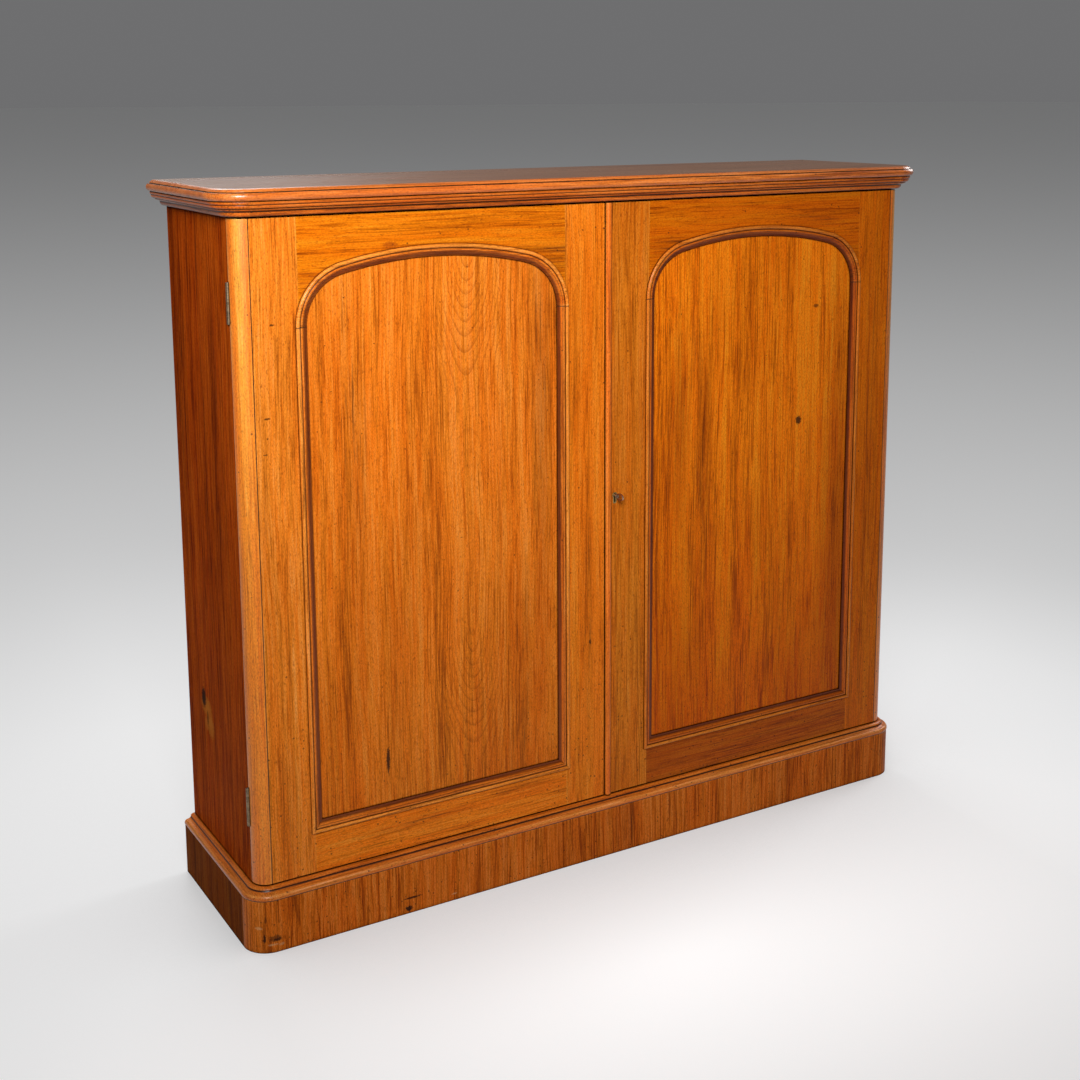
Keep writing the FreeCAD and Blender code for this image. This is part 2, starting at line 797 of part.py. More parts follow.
def strike_mouth(low, high):
    half = bolt_thickness / 2 + strike_clearance
    return box(
        (low, bolt_y - half, bolt_low - strike_clearance), (high, bolt_y + half, bolt_top + strike_clearance))


def strike_cuts():
    near, far, low, high = strike_places()
    depth = bolt_travel + strike_pocket_depth
    seat = box((left_door_edge, near, low), (left_door_edge + strike_thickness, far, high))
    return [seat, strike_mouth(left_door_edge, left_door_edge + depth)]


def make_strike_plate():
    near, far, low, high = strike_places()
    plate = box((left_door_edge, near, low), (left_door_edge + strike_thickness, far, high))
    plate = plate.cut(strike_mouth(left_door_edge, left_door_edge + strike_thickness))
    nodes["strike_plate"] = mirrored(one_solid(plate))


# Flush bolts in the meeting edge of the left door, drawn on the right and mirrored

flush_y = front + door_thickness / 2
rod_near = left_door_edge + flush_plate_thickness
rod_far = rod_near + flush_rod_depth


def flipped(shape):
    """The bottom bolt is the top one turned over about the middle of the door."""
    return shape.mirror(Vector(0, 0, (door_bottom + door_top) / 2), Vector(0, 0, 1))


def flush_bolt_socket(low, high):
    """Hole that a flush bolt shoots into, above or below the left door."""
    half = flush_rod_width / 2 + flush_fit
    return box((-rod_far - flush_fit, flush_y - half, low), (-rod_near + flush_fit, flush_y + half, high))


def flush_rod():
    end = door_top - flush_rod_set_back
    half = flush_rod_width / 2
    rod = box((rod_near, flush_y - half, end - flush_rod_length), (rod_far, flush_y + half, end))
    stud_top = end - flush_stud_drop
    half = flush_stud_width / 2
    stud = box(
        (left_door_edge, flush_y - half, stud_top - flush_stud_length), (rod_near, flush_y + half, stud_top))
    return one_solid(rod.fuse(stud))


def flush_plate():
    half = flush_plate_width / 2
    plate = box(
        (left_door_edge, flush_y - half, door_top - flush_plate_length), (rod_near, flush_y + half, door_top))
    stud_top = door_top - flush_rod_set_back - flush_stud_drop
    half = flush_stud_width / 2 + flush_fit
    slot = box(
        (left_door_edge, flush_y - half, stud_top - flush_stud_length - flush_fit),
        (rod_near, flush_y + half, stud_top + flush_travel + flush_fit))
    return one_solid(plate.cut(slot))


def flush_bolt_cuts():
    half = flush_plate_width / 2
    seat = box(
        (left_door_edge, flush_y - half, door_top - flush_plate_length), (rod_near, flush_y + half, door_top))
    half = flush_rod_width / 2 + flush_fit
    groove = box(
        (rod_near, flush_y - half, door_top - flush_rod_set_back - flush_rod_length - flush_fit),
        (rod_far + flush_fit, flush_y + half, door_top))
    return [seat, groove, flipped(seat), flipped(groove)]


def make_flush_bolts():
    rod = mirrored(flush_rod())
    plate = mirrored(flush_plate())
    nodes["flush_bolt_top"] = rod
    nodes["flush_bolt_bottom"] = flipped(rod)
    nodes["flush_bolt_plates"] = Part.makeCompound([plate, flipped(plate)])


make_plinth()
make_top()
make_side()
make_carcass_boards()
make_shelves()
make_pegs()
make_hinges()
make_corner_strip()
make_door_frame()
make_panel()
make_arch_moulding()
make_straight_mouldings()
make_astragal()
make_lock()
make_key()
make_strike_plate()
make_flush_bolts()

os.makedirs("parts", exist_ok=True)
for name, shape in nodes.items():
    shape.exportStep("parts/%s.step" % name)
print("%d nodes" % len(nodes))
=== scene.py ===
import math

import bmesh
import bpy
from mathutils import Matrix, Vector


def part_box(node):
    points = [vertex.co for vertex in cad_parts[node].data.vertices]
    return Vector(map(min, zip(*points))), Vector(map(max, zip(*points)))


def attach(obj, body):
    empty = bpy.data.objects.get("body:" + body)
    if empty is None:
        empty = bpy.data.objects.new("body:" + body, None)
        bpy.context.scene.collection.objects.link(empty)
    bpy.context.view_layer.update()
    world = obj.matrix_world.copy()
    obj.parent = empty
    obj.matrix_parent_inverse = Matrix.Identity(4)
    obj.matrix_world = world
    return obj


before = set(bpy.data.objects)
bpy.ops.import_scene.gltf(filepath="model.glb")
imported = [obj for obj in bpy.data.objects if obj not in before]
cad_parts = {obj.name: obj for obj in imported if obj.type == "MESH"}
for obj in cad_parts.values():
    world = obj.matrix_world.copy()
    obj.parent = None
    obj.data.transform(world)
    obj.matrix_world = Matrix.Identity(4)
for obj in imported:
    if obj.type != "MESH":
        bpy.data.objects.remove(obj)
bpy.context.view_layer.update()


# Plinth: front, side and back rails and two rounded corner blocks, glued up into the box under the carcass.
# All but the back rail are faced with mahogany veneer, its grain upright, dark and light leaves in turn.
# Shoes and brooms have bruised the lower edge and knocked flecks of finish off the left corner.

def add_node(tree, kind, sockets, **settings):
    """A shader node with its settings made and each named socket linked or given a value."""
    made = tree.nodes.new("ShaderNode" + kind)
    for name, value in settings.items():
        setattr(made, name, value)
    for name, value in sockets.items():
        if isinstance(value, bpy.types.NodeSocket):
            tree.links.new(value, made.inputs[name])
        else:
            made.inputs[name].default_value = value
    return made


def number(tree, operation, first, second=0.0):
    return add_node(tree, "Math", {0: first, 1: second}, operation=operation).outputs["Value"]


def vector(tree, operation, first, second=(0.0, 0.0, 0.0)):
    made = add_node(tree, "VectorMath", {0: first, 1: second}, operation=operation)
    return made.outputs["Value" if operation == "LENGTH" else "Vector"]


def axis_of(tree, place, axis):
    return add_node(tree, "SeparateXYZ", {"Vector": place}).outputs[axis]


def cloud(tree, place, scale, detail, roughness=0.5):
    made = add_node(tree, "TexNoise", {
        "Vector": place, "Scale": scale, "Detail": detail, "Roughness": roughness})
    return made.outputs["Fac"]


def drawn_out(tree, fibre, along, scale, detail, roughness=0.5):
    """Noise stretched along the grain."""
    return cloud(tree, vector(tree, "MULTIPLY", fibre, (1.0, 1.0, along)), scale, detail, roughness)


def fade(tree, value, low, high, to_low=0.0, to_high=1.0):
    """The stretch of a value from low to high, carried over to the one from to_low to to_high."""
    made = add_node(tree, "MapRange", {
        "Value": value, "From Min": low, "From Max": high, "To Min": to_low, "To Max": to_high})
    return made.outputs["Result"]


def tint(tree, mode, amount, under, over):
    over = over if isinstance(over, bpy.types.NodeSocket) else (*over, 1.0)
    under = under if isinstance(under, bpy.types.NodeSocket) else (*under, 1.0)
    made = add_node(tree, "Mix", {0: amount, 6: under, 7: over}, data_type="RGBA", blend_type=mode)
    return made.outputs[2]


def scaled(colour, factors):
    brightest = 0.95
    return tuple(min(brightest, value * factor) for value, factor in zip(colour, factors))


def within(tree, place, centre, radii):
    """Distance from centre, where 1 is the surface of the ellipsoid with these radii."""
    return vector(tree, "LENGTH", vector(tree, "DIVIDE", vector(tree, "SUBTRACT", place, centre), radii))


def away_from(tree, value, level):
    return number(tree, "ABSOLUTE", number(tree, "SUBTRACT", value, level))


def openness(tree, reach, samples, inside=False):
    """How open the space is within reach of a surface, in front of it or, inside, behind it."""
    made = add_node(tree, "AmbientOcclusion", {"Distance": reach}, samples=samples, inside=inside)
    return made.outputs["AO"]


def grain(tree, fibre, mottle, base, contrast):
    """Colour of the long fibres with their streaks and flecks, and the finest fibres by themselves."""
    fine = drawn_out(tree, fibre, along=0.022, scale=400.0, detail=4.0, roughness=0.7)
    band = drawn_out(tree, fibre, along=0.03, scale=48.0, detail=3.0)
    tone = number(tree, "ADD", number(tree, "MULTIPLY", fine, 0.7), number(tree, "MULTIPLY", band, 0.3))
    ramp = add_node(tree, "ValToRGB", {"Fac": tone})
    stops = ramp.color_ramp.elements
    middle = 0.5
    reach = 0.15 / contrast
    stops.new(middle)
    dark_fibre = scaled(base, (0.42, 0.34, 0.25))
    bright_fibre = scaled(base, (1.08, 1.36, 3.6))
    shades = ((middle - reach, dark_fibre), (middle, base), (middle + reach, bright_fibre))
    for stop, (position, shade) in zip(stops, shades):
        stop.position = position
        stop.color = (*shade, 1.0)
    aged = fade(tree, mottle, 0.48, 0.70, to_high=0.4)
    colour = tint(tree, "MULTIPLY", aged, ramp.outputs["Color"], (0.70, 0.58, 0.4))
    broad_streaks = drawn_out(tree, fibre, along=0.12, scale=11.0, detail=3.0, roughness=0.6)
    red = fade(tree, broad_streaks, 0.42, 0.66, to_high=0.6)
    colour = tint(tree, "MULTIPLY", red, colour, (0.98, 0.86, 0.55))
    narrow_streaks = drawn_out(tree, fibre, along=0.035, scale=85.0, detail=3.0, roughness=0.6)
    hue = tint(tree, "MIX", fade(tree, narrow_streaks, 0.40, 0.60), (1.0, 1.07, 1.2), (1.0, 0.90, 0.75))
    colour = tint(tree, "MULTIPLY", 1.0, colour, hue)
    short_fibres = drawn_out(tree, fibre, along=0.45, scale=620.0, detail=2.0, roughness=0.6)
    flecks = fade(tree, short_fibres, 0.40, 0.66, to_high=0.72)
    return tint(tree, "MULTIPLY", flecks, colour, (0.68, 0.58, 0.5)), fine


def growth_rings(tree, colour, log, fibre, mottle, gap, depth, swell):
    """Dark late wood of the yearly rings, in pointed loops where the trunk swells and narrows."""
    trunk = fibre
    if swell is None:
        shown = fade(tree, mottle, 0.38, 0.55, to_low=0.35)
    else:
        swing, length, crest = swell
        shown = fade(tree, mottle, 0.30, 0.55, to_low=0.75)
        along = number(tree, "SUBTRACT", axis_of(tree, log, "Z"), crest)
        turn = number(tree, "MULTIPLY", along, 2 * math.pi / length)
        rise = number(tree, "MULTIPLY", number(tree, "SINE", turn), swing)
        trunk = vector(tree, "ADD", fibre, add_node(tree, "CombineXYZ", {"Y": rise}).outputs["Vector"])
        from_heart = number(tree, "ABSOLUTE", axis_of(tree, log, "X"))
        shown = number(tree, "MULTIPLY", shown, fade(tree, from_heart, 0.05, 0.12, to_low=1.0, to_high=0.15))
        opening_up = fade(tree, number(tree, "COSINE", turn), -0.6, 0.4, to_low=0.35)
        shown = number(tree, "MULTIPLY", shown, opening_up)
    scale_at_one_metre = 0.314
    ring = add_node(tree, "TexWave", {
        "Vector": vector(tree, "MULTIPLY", trunk, (1.0, 1.0, 0.25)), "Scale": scale_at_one_metre / gap,
        "Distortion": 3.5, "Detail": 2.0, "Detail Scale": 0.2},
        wave_type="RINGS", rings_direction="Z", wave_profile="SAW")
    late_wood = number(tree, "MULTIPLY", fade(tree, ring.outputs["Fac"], 0.66, 1.0), shown)
    return tint(tree, "MULTIPLY", number(tree, "MULTIPLY", late_wood, depth), colour, (0.42, 0.30, 0.24))


def dark_streaks(tree, colour, place, fibre, strength, bundles):
    """Near-black lines gathered in bundles, and open pores. The second result is how far they are sunk."""
    lines = drawn_out(tree, fibre, along=0.022, scale=300.0, detail=3.0, roughness=0.6)
    bundle = fade(tree, drawn_out(tree, fibre, along=0.06, scale=15.0, detail=2.0), 0.59, 0.71)
    for centre, radii in bundles:
        bundle = number(tree, "MAXIMUM", bundle, fade(tree, within(tree, place, centre, radii), 1.0, 0.3))
    veil = number(tree, "MULTIPLY", bundle, 0.4 * strength)
    colour = tint(tree, "MULTIPLY", veil, colour, (0.62, 0.50, 0.40))
    streak = number(tree, "MULTIPLY", fade(tree, lines, 0.55, 0.64), bundle)
    colour = tint(tree, "MIX", number(tree, "MULTIPLY", streak, strength), colour, (0.075, 0.020, 0.005))
    pore = fade(tree, drawn_out(tree, fibre, along=0.25, scale=520.0, detail=2.0), 0.60, 0.69)
    colour = tint(tree, "MULTIPLY", number(tree, "MULTIPLY", pore, 0.6), colour, (0.42, 0.32, 0.26))
    return colour, number(tree, "ADD", streak, pore)


def pits(tree, colour, place):
    """Small dark dents of different sizes, most of them low down where feet reach."""
    cell = add_node(tree, "TexVoronoi", {"Vector": place, "Scale": 120.0})
    pick = add_node(tree, "SeparateColor", {"Color": cell.outputs["Color"]})
    size = fade(tree, pick.outputs["Green"], 0.0, 1.0, to_low=0.05, to_high=0.20)
    rarity = fade(tree, axis_of(tree, place, "Z"), 0.05, 0.45, to_low=0.68, to_high=0.96)
    pit = number(tree, "MULTIPLY", number(tree, "LESS_THAN", cell.outputs["Distance"], size),
                 number(tree, "GREATER_THAN", pick.outputs["Red"], rarity))
    return tint(tree, "MIX", number(tree, "MULTIPLY", pit, 0.7), colour, (0.04, 0.012, 0.004))


def bruises(tree, colour, place, marks):
    """Single marks with ragged edges, each given by centre, radii, shade and strength."""
    edge = number(tree, "MULTIPLY", cloud(tree, place, scale=420.0, detail=3.0, roughness=0.7), 1.6)
    for centre, radii, shade, strength in marks:
        ragged = number(tree, "ADD", within(tree, place, centre, radii), edge)
        colour = tint(tree, "MIX", fade(tree, ragged, 1.75, 1.45, to_high=strength), colour, shade)
    return colour


def wear_grime_and_painted_shade(tree, colour, mottle):
    """Outer edges rubbed pale in patches, and black wax with painted shade in the hollows and the narrow
    quirks.
    """
    outer = openness(tree, reach=0.005, samples=6, inside=True)
    rubbed = number(tree, "MULTIPLY", fade(tree, outer, 0.85, 0.45, to_high=0.7),
                    fade(tree, mottle, 0.35, 0.6, to_low=0.4))
    colour = tint(tree, "MULTIPLY", rubbed, colour, (1.15, 1.5, 2.4))
    # Painted shade: hollows and narrow quirks are darkened near to black, standing in for the shade there as
    # well as for old wax.
    hollow = openness(tree, reach=0.014, samples=6)
    quirk_shade = openness(tree, reach=0.0035, samples=8)
    grime_and_shade = number(tree, "MAXIMUM", fade(tree, hollow, 0.68, 0.20), fade(tree, quirk_shade, 0.90, 0.55))
    colour = tint(tree, "MIX", number(tree, "MULTIPLY", grime_and_shade, 0.94), colour, (0.014, 0.004, 0.002))
    return colour, grime_and_shade


def new_material(name):
    material = bpy.data.materials.new(name)
    material.use_nodes = True
    tree = material.node_tree
    return material, tree, tree.nodes["Principled BSDF"]


def mahogany(name, base, heart, lean, contrast=1.0, streaks=0.6, rings=0.2, ring_gap=0.0036, swell=None,
             gloss=0.22, shine=0.09, coat=0.02, marks=(), bundles=(), stain=None):
    """Polished mahogany: grain about the line through heart, leaning as told, with the marks of use."""
    material, tree, shader = new_material(name)
    place = add_node(tree, "TexCoord", {}).outputs["Object"]
    log = add_node(tree, "Mapping", {
        "Vector": place, "Location": heart, "Rotation": lean}, vector_type="TEXTURE").outputs["Vector"]
    sway = add_node(tree, "TexNoise", {
        "Vector": vector(tree, "MULTIPLY", log, (1.0, 1.0, 0.6)), "Scale": 4.0, "Detail": 1.5})
    sway = vector(tree, "SUBTRACT", sway.outputs["Color"], (0.5, 0.5, 0.5))
    fibre = vector(tree, "ADD", log, vector(tree, "MULTIPLY", sway, (0.02, 0.02, 0.0)))
    mottle = drawn_out(tree, fibre, along=0.35, scale=7.0, detail=3.0, roughness=0.55)

    colour, fine = grain(tree, fibre, mottle, base, contrast)
    colour = growth_rings(tree, colour, log, fibre, mottle, ring_gap, rings, swell)
    colour, sunk_lines = dark_streaks(tree, colour, place, fibre, streaks, bundles)
    colour = pits(tree, colour, place)
    if stain is not None:
        colour = stain(tree, colour, place)
    if marks:
        colour = bruises(tree, colour, place, marks)
    colour, grime_and_shade = wear_grime_and_painted_shade(tree, colour, mottle)
    tree.links.new(colour, shader.inputs["Base Color"])

    rough = number(tree, "ADD", number(tree, "MULTIPLY", mottle, 0.16),
                   number(tree, "MULTIPLY", sunk_lines, 0.10))
    rough = number(tree, "ADD", rough, number(tree, "MULTIPLY", grime_and_shade, 0.3))
    tree.links.new(number(tree, "ADD", rough, gloss), shader.inputs["Roughness"])
    tree.links.new(fade(tree, grime_and_shade, 0.0, 0.8, shine, 0.0), shader.inputs["Specular IOR Level"])
    shader.inputs["Coat Weight"].default_value = coat
    shader.inputs["Coat Roughness"].default_value = 0.12
    height = number(tree, "SUBTRACT", number(tree, "MULTIPLY", fine, 0.5), sunk_lines)
    eased = add_node(tree, "Bevel", {"Radius": 0.0009}, samples=4).outputs["Normal"]
    bump = add_node(tree, "Bump", {"Height": height, "Strength": 0.3, "Distance": 0.0004, "Normal": eased})
    tree.links.new(bump.outputs["Normal"], shader.inputs["Normal"])
    return material


def dress(node, material):
    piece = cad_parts[node]
    piece.data.materials.clear()
    piece.data.materials.append(material)


UPRIGHT = (0.0, 0.0, 0.0)
ALONG_X = (0.0, math.radians(90), 0.0)
ALONG_Y = (math.radians(-90), 0.0, 0.0)
BRUISE_AND_SHADE = (0.022, 0.007, 0.003)
FLECK = (0.72, 0.42, 0.18)

veneer = (0.76, 0.178, 0.011)
side_veneer = (0.31, 0.068, 0.002)
oiled_wood = (0.42, 0.095, 0.012)
plinth_marks = [
    ((-0.657, -0.150, 0.025), (0.0025, 0.02, 0.009), BRUISE_AND_SHADE, 0.9),
    ((-0.641, -0.157, 0.024), (0.012, 0.02, 0.007), BRUISE_AND_SHADE, 0.65),
    ((-0.636, -0.158, 0.022), (0.009, 0.02, 0.003), BRUISE_AND_SHADE, 0.8),
    ((-0.664, -0.148, 0.043), (0.006, 0.02, 0.003), FLECK, 0.5),
    ((-0.645, -0.156, 0.014), (0.009, 0.02, 0.002), FLECK, 0.5),
    ((-0.630, -0.158, 0.012), (0.005, 0.02, 0.003), FLECK, 0.4),
    ((-0.655, -0.152, 0.057), (0.002, 0.02, 0.008), BRUISE_AND_SHADE, 0.6),
    ((-0.405, -0.160, 0.009), (0.008, 0.01, 0.006), BRUISE_AND_SHADE, 0.95),
    ((-0.398, -0.160, 0.027), (0.020, 0.01, 0.0022), BRUISE_AND_SHADE, 0.9),
    ((-0.320, -0.160, 0.012), (0.006, 0.01, 0.002), FLECK, 0.5)]
for index, node in enumerate(("plinth_front", "left_plinth_corner", "right_plinth_corner")):
    dress(node, mahogany(node + "_veneer", veneer, (0.4 * index, -1.5, 0.0), UPRIGHT, contrast=1.5,
                         streaks=0.85, gloss=0.35, shine=0.08, coat=0.0, marks=plinth_marks))
for index, node in enumerate(("left_plinth_side", "right_plinth_side")):
    dress(node, mahogany(node + "_veneer", side_veneer, (1.6 + index, -1.5, 0.0), UPRIGHT, contrast=1.5,
                         streaks=0.85, gloss=0.5, shine=0.008, coat=0.0))
dress("plinth_back", mahogany("plinth_back_wood", oiled_wood, (0.0, 0.8, -0.6), ALONG_X,
                              gloss=0.5, shine=0.1, coat=0.0))


# Plinth moulding: planed mahogany, a small bead over a hollow and a bold round, laid on the plinth box.
# The front run is one straight length, and each side run is worked in one with its rounded corner.
# Old wax and dust with painted shade darken the hollow and the underside of the round, and a painted
# highlight brightens the crown.

def packed_dirt_and_shade(bands, highlight_crown=None):
    """Stain for a level moulding: a dark line of dirt and painted shade over each band of heights, and a
    painted highlight along the crown.
    """
    highlight_reach = 0.003
    soft_edge = 0.0004

    def stain(tree, colour, place):
        height = axis_of(tree, place, "Z")
        if highlight_crown is not None:
            # Painted highlight: the crown of the round is lightened as if the light caught it along its
            # length.
            rubbed = fade(tree, away_from(tree, height, highlight_crown), highlight_reach, 0.0)
            colour = tint(tree, "MULTIPLY", rubbed, colour, (1.2, 1.75, 4.5))
        # Painted shade with dirt: each band is darkened near to black, where the quirks and undersides fall
        # into shade.
        for low, high in bands:
            away = away_from(tree, height, (low + high) / 2)
            reach = (high - low) / 2
            dirt_and_shade = fade(tree, away, reach + soft_edge, reach - soft_edge, to_high=0.92)
            colour = tint(tree, "MIX", dirt_and_shade, colour, (0.022, 0.006, 0.003))
        return colour
    return stain


moulding_wood = (0.80, 0.205, 0.014)
plinth_dirt_and_shade = packed_dirt_and_shade(((0.1006, 0.1034), (0.0880, 0.0902)), highlight_crown=0.0965)
for node, lean in (("plinth_moulding_front", ALONG_X), ("left_plinth_moulding", ALONG_Y),
                   ("right_plinth_moulding", ALONG_Y)):
    dress(node, mahogany(node + "_wood", moulding_wood, (0.0, 0.3, -0.5), lean, streaks=0.4, rings=0.1,
                         shine=0.3, coat=0.1, stain=plinth_dirt_and_shade))


# Carcass sides: wide solid boards, darker and redder than the doors and waxed rather than polished.
# They stand on the plinth moulding, are housed for the bottom board and bored for rows of shelf pegs.
# Low on the left one a healed knot shows as a pale swirl with a dark slit in it.

side_wood = (0.57, 0.087, 0.002)
knot_wood = (0.62, 0.20, 0.022)
side_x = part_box("left_side")[0][0]
side_marks = [((side_x, 0.085, 0.339), (0.02, 0.027, 0.020), knot_wood, 0.55),
              ((side_x, 0.070, 0.326), (0.02, 0.020, 0.030), knot_wood, 0.55),
              ((side_x, 0.060, 0.306), (0.02, 0.018, 0.022), knot_wood, 0.60),
              ((side_x, 0.082, 0.306), (0.02, 0.012, 0.014), knot_wood, 0.50),
              ((side_x, 0.093, 0.350), (0.02, 0.013, 0.020), BRUISE_AND_SHADE, 0.95),
              ((side_x, 0.076, 0.318), (0.02, 0.006, 0.016), BRUISE_AND_SHADE, 0.6)]
side_bundles = (((side_x, -0.030, 0.80), (1.0, 0.035, 0.35)),
                ((side_x, 0.140, 0.85), (1.0, 0.030, 0.40)))
for index, node in enumerate(("left_side", "right_side")):
    dress(node, mahogany(node + "_wood", side_wood, (1.3 * index, 0.4, 0.0), UPRIGHT, contrast=2.2,
                         streaks=0.9, gloss=0.5, shine=0.008, coat=0.0, marks=side_marks,
                         bundles=side_bundles))


# Bottom board and two top rails: plain mahogany under a thin coat of oil, its grain from side to side.
# The board lies in housings in the sides, and the rails tie the sides together under the top.

for index, node in enumerate(("bottom_board", "top_front_rail", "top_back_rail")):
    dress(node, mahogany(node + "_wood", oiled_wood, (0.0, 0.5 + 0.3 * index, -0.4), ALONG_X,
                         gloss=0.4, shine=0.12, coat=0.0))


# Back: four upright boards in the rebates of the sides, with a shrinkage gap between each two.
# The outer face never had a finish, and three cut nails at each end hold a board to the rail and the bottom.

raw_wood = (0.36, 0.130, 0.024)
back_boards = ["back_board_%d" % index for index in range(1, 5)]
for index, node in enumerate(back_boards, start=1):
    dress(node, mahogany(node + "_wood", raw_wood, (0.3 * index, 1.5, 0.0), UPRIGHT,
                         gloss=0.55, shine=0.06, coat=0.0))


def faces_up(face):
    return face.normal.z > 0.9


def pick_faces(piece, wanted):
    """In edit mode, select only the faces that wanted() takes."""
    mesh = bmesh.from_edit_mesh(piece.data)
    bpy.ops.mesh.select_all(action="DESELECT")
    for face in mesh.faces:
        if wanted(face):
            face.select_set(True)
    bmesh.update_edit_mesh(piece.data)


def set_copies(name, model, settings, material, body):
    """Copies of a small model, each at a place with a turn, joined into one piece that rides a body."""
    copies = []
    for place, turn in settings:
        copy = model.copy()
        copy.data = model.data.copy()
        bpy.context.scene.collection.objects.link(copy)
        copy.location = place
        copy.rotation_euler = turn
        copies.append(copy)
    bpy.ops.object.select_all(action="DESELECT")
    for copy in copies:
        copy.select_set(True)
    bpy.context.view_layer.objects.active = copies[0]
    bpy.ops.object.transform_apply(location=True, rotation=True, scale=True)
    bpy.ops.object.join()
    piece = bpy.context.object
    piece.name = name
    piece.data.materials.clear()
    piece.data.materials.append(material)
    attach(piece, body)
    return piece


def aged_metal(name, bright, dull, stain, roughness):
    """Handled metal: dull skin, stains in patches and hollows, bright where edges rub, fine scratches."""
    material, tree, shader = new_material(name)
    place = add_node(tree, "TexCoord", {}).outputs["Object"]
    patch = cloud(tree, place, scale=160.0, detail=5.0, roughness=0.65)
    spots = cloud(tree, place, scale=900.0, detail=3.0, roughness=0.6)
    scratch = drawn_out(tree, place, along=0.04, scale=2600.0, detail=2.0)
    colour = tint(tree, "MIX", fade(tree, patch, 0.38, 0.62), dull, bright)
    colour = tint(tree, "MIX", fade(tree, spots, 0.60, 0.72, to_high=0.7), colour, stain)
    colour = tint(tree, "MULTIPLY", fade(tree, scratch, 0.55, 0.7, to_high=0.5), colour, (0.6, 0.58, 0.55))
    hollow = openness(tree, reach=0.004, samples=6)
    colour = tint(tree, "MIX", fade(tree, hollow, 0.8, 0.3, to_high=0.85), colour, stain)
    edge = openness(tree, reach=0.0015, samples=6, inside=True)
    rubbed = scaled(bright, (1.25, 1.25, 1.25))
    colour = tint(tree, "MIX", fade(tree, edge, 0.8, 0.4, to_high=0.6), colour, rubbed)
    tree.links.new(colour, shader.inputs["Base Color"])
    shader.inputs["Metallic"].default_value = 1.0
    rough = number(tree, "ADD", number(tree, "MULTIPLY", patch, -0.3), number(tree, "MULTIPLY", spots, 0.25))
    tree.links.new(number(tree, "ADD", rough, roughness), shader.inputs["Roughness"])
    eased = add_node(tree, "Bevel", {"Radius": 0.0003}, samples=4).outputs["Normal"]
    height = number(tree, "ADD", spots, scratch)
    bump = add_node(tree, "Bump", {"Height": height, "Strength": 0.25, "Distance": 0.0002, "Normal": eased})
    tree.links.new(bump.outputs["Normal"], shader.inputs["Normal"])
    return material


nail_sides = 10
nail_radius = 0.0032
nail_height = 0.0014
nail_inset = 0.45 * nail_radius
nail_rise = 0.3 * nail_height
bpy.ops.object.select_all(action="DESELECT")
bpy.ops.mesh.primitive_cylinder_add(vertices=nail_sides, radius=nail_radius, depth=nail_height,
                                    location=(0.0, 0.0, 0.0))
nail = bpy.context.object
bpy.ops.object.mode_set(mode="EDIT")
pick_faces(nail, faces_up)
bpy.ops.mesh.inset(thickness=nail_inset)
bpy.ops.transform.translate(value=(0.0, 0.0, nail_rise))
bpy.ops.object.mode_set(mode="OBJECT")
nail_iron = aged_metal("nail_iron", (0.24, 0.20, 0.17), (0.12, 0.085, 0.065), (0.09, 0.035, 0.015), 0.6)

facing_back = math.radians(-90)
shares_of_board = (0.12, 0.5, 0.88)
nail_rows = []
for node in ("bottom_board", "top_back_rail"):
    low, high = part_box(node)
    nail_rows.append((low[2] + high[2]) / 2)
nail_places = []
for node in back_boards:
    low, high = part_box(node)
    for height in nail_rows:
        for share in shares_of_board:
            across = low[0] + share * (high[0] - low[0])
            nail_places.append(((across, high[1], height), (facing_back, 0.0, 0.0)))
set_copies("back_nails", nail, nail_places, nail_iron, "carcass")
bpy.data.objects.remove(nail)


# Shelves: three loose mahogany boards with a rounded front edge, lifted out and moved at will.
# Each rests on four turned brass pegs pushed into the holes of the sides.

for index, node in enumerate(("shelf_1", "shelf_2", "shelf_3")):
    dress(node, mahogany(node + "_wood", oiled_wood, (0.0, 1.4 + 0.3 * index, -0.4), ALONG_X,
                         gloss=0.4, shine=0.12, coat=0.0))
brass = aged_metal("brass", (0.58, 0.41, 0.16), (0.30, 0.20, 0.08), (0.06, 0.035, 0.015), 0.45)
dress("shelf_pegs", brass)


# Cornice and top: two reeds, a band, a hollow and a fillet under a board with a nosing and a thumb moulding.
# The mahogany is darker than the doors, and black wax with painted shade lies in the quirks between the
# members.
# The board's upper face is French polished, so at a low angle it mirrors the light behind it, and painted
# shade makes its colour darker and greyer than the edges.

cornice_wood = (0.70, 0.154, 0.008)
cornice_dirt_and_shade = packed_dirt_and_shade(((1.2008, 1.2030), (1.1950, 1.1963), (1.1893, 1.1906), (1.1842, 1.1867),
                            (1.1770, 1.1785)))
for node, lean in (("cornice_front", ALONG_X), ("left_cornice", ALONG_Y), ("right_cornice", ALONG_Y)):
    dress(node, mahogany(node + "_wood", cornice_wood, (0.0, 0.3, 0.6), lean, contrast=1.5, streaks=0.6,
                         rings=0.1, shine=0.22, coat=0.05, stain=cornice_dirt_and_shade))
top_wood = (0.79, 0.205, 0.021)
thumb_dirt_and_shade = packed_dirt_and_shade(((1.2137, 1.2152),))
top_face_from_z = 1.2194
top_face_full_z = 1.2199


def painted_top_shade(tree, colour, place):
    # Painted shade: the upper face is darkened and greyed against the board's edges.
    above = fade(tree, axis_of(tree, place, "Z"), top_face_from_z, top_face_full_z)
    return tint(tree, "MULTIPLY", above, thumb_dirt_and_shade(tree, colour, place), (0.44, 0.62, 1.0))


dress("top_board", mahogany("top_board_wood", top_wood, (0.0, 0.3, 0.6), ALONG_X, contrast=1.2,
                            streaks=0.8, gloss=0.2, shine=0.7, coat=0.0, stain=painted_top_shade))


